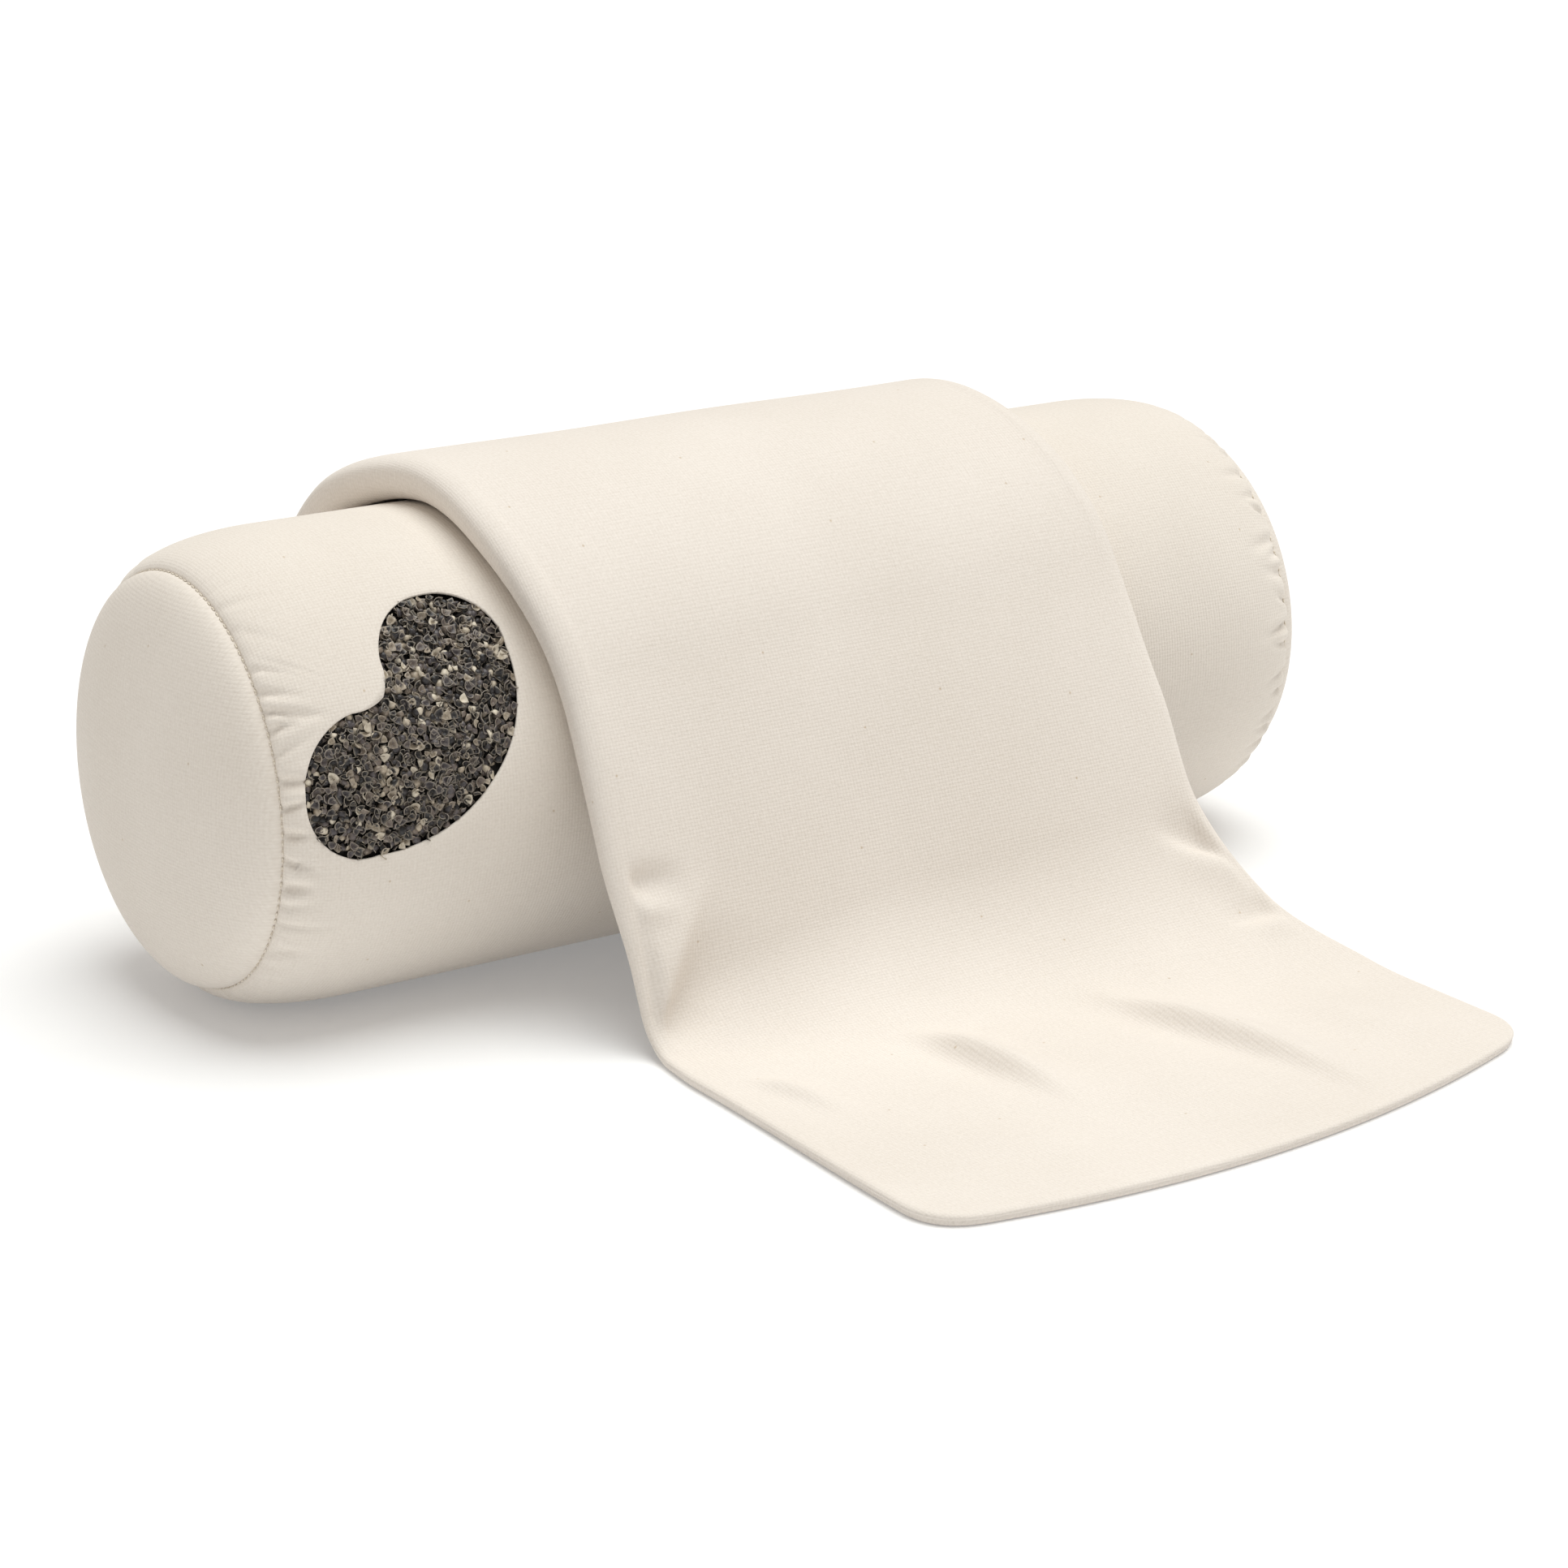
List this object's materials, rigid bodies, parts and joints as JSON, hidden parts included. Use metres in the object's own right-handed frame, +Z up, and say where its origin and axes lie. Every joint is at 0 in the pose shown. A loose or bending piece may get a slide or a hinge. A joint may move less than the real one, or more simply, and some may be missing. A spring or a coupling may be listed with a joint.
{
  "type": "bolster pillow",
  "caption": "Hull-filled bolster roll with domed sewn ends and a heart-shaped window onto its fill, under its own flat zipped cover, which is draped over it and runs out onto the floor.",
  "frame": {"origin": "centre of the flattened underside of the roll, on the floor", "axes": "+X along the roll's axis, away from the end with the window; -Y towards the cover's front edge; +Z up"},
  "size_m": [0.4212, 0.381, 0.1626],
  "materials": {
    "casing_cloth": "matte cream cotton twill, slightly napped",
    "cover_cloth": "matte cream cotton twill, slightly napped",
    "thread": "cream sewing thread",
    "hulls": "dry dark brown seed hulls with tan rims",
    "label": "blank woven satin",
    "zip_tape": "woven polyester tape",
    "zip_coil": "nylon coil",
    "zip_metal": "cream enamelled zinc"
  },
  "bodies": {
    "roll": {"casing_side_panel": "casing_cloth", "casing_left_end_panel": "casing_cloth", "casing_right_end_panel": "casing_cloth", "casing_left_seam_stitching": "thread", "casing_right_seam_stitching": "thread", "casing_long_seam_stitching": "thread", "hull_fill": "hulls", "window_hulls": "hulls", "care_label": "label", "casing_zip_upper_tape": "zip_tape", "casing_zip_lower_tape": "zip_tape", "casing_zip_upper_coil": "zip_coil", "casing_zip_lower_coil": "zip_coil", "casing_zip_closed_end_stop": "zip_metal", "casing_zip_open_end_stop": "zip_metal"},
    "cover": {"cover_upper_layer": "cover_cloth", "cover_lower_layer": "cover_cloth", "cover_zip_upper_tape": "zip_tape", "cover_zip_lower_tape": "zip_tape", "cover_zip_upper_coil": "zip_coil", "cover_zip_lower_coil": "zip_coil", "cover_zip_closed_end_stop": "zip_metal", "cover_zip_open_end_stop": "zip_metal"},
    "casing_slider": {"casing_zip_slider": "zip_metal"},
    "casing_pull": {"casing_zip_pull_tab": "zip_metal"},
    "cover_slider": {"cover_zip_slider": "zip_metal"},
    "cover_pull": {"cover_zip_pull_tab": "zip_metal"}
  },
  "joints": [
    {"name": "cover_lift", "type": "slide", "parent": "roll", "child": "cover", "axis": [0, 0, 1], "range_m": [0, 0.2]},
    {"name": "casing_zip_run", "type": "slide", "parent": "roll", "child": "casing_slider", "axis": [-1, 0, 0], "range_m": [0, 0.24]},
    {"name": "casing_pull_swing", "type": "hinge", "parent": "casing_slider", "child": "casing_pull", "pos_m": [0.1122, 0.07195, 0.04413], "axis": [0, 0.3746, 0.9272], "range_deg": [0, 160]},
    {"name": "cover_zip_run", "type": "slide", "parent": "cover", "child": "cover_slider", "axis": [-1, 0, 0], "range_m": [0, 0.17]},
    {"name": "cover_pull_swing", "type": "hinge", "parent": "cover_slider", "child": "cover_pull", "pos_m": [0.0812, 0.08645, 0.10467], "axis": [0, -0.342, 0.9397], "range_deg": [0, 160]}
  ]
}
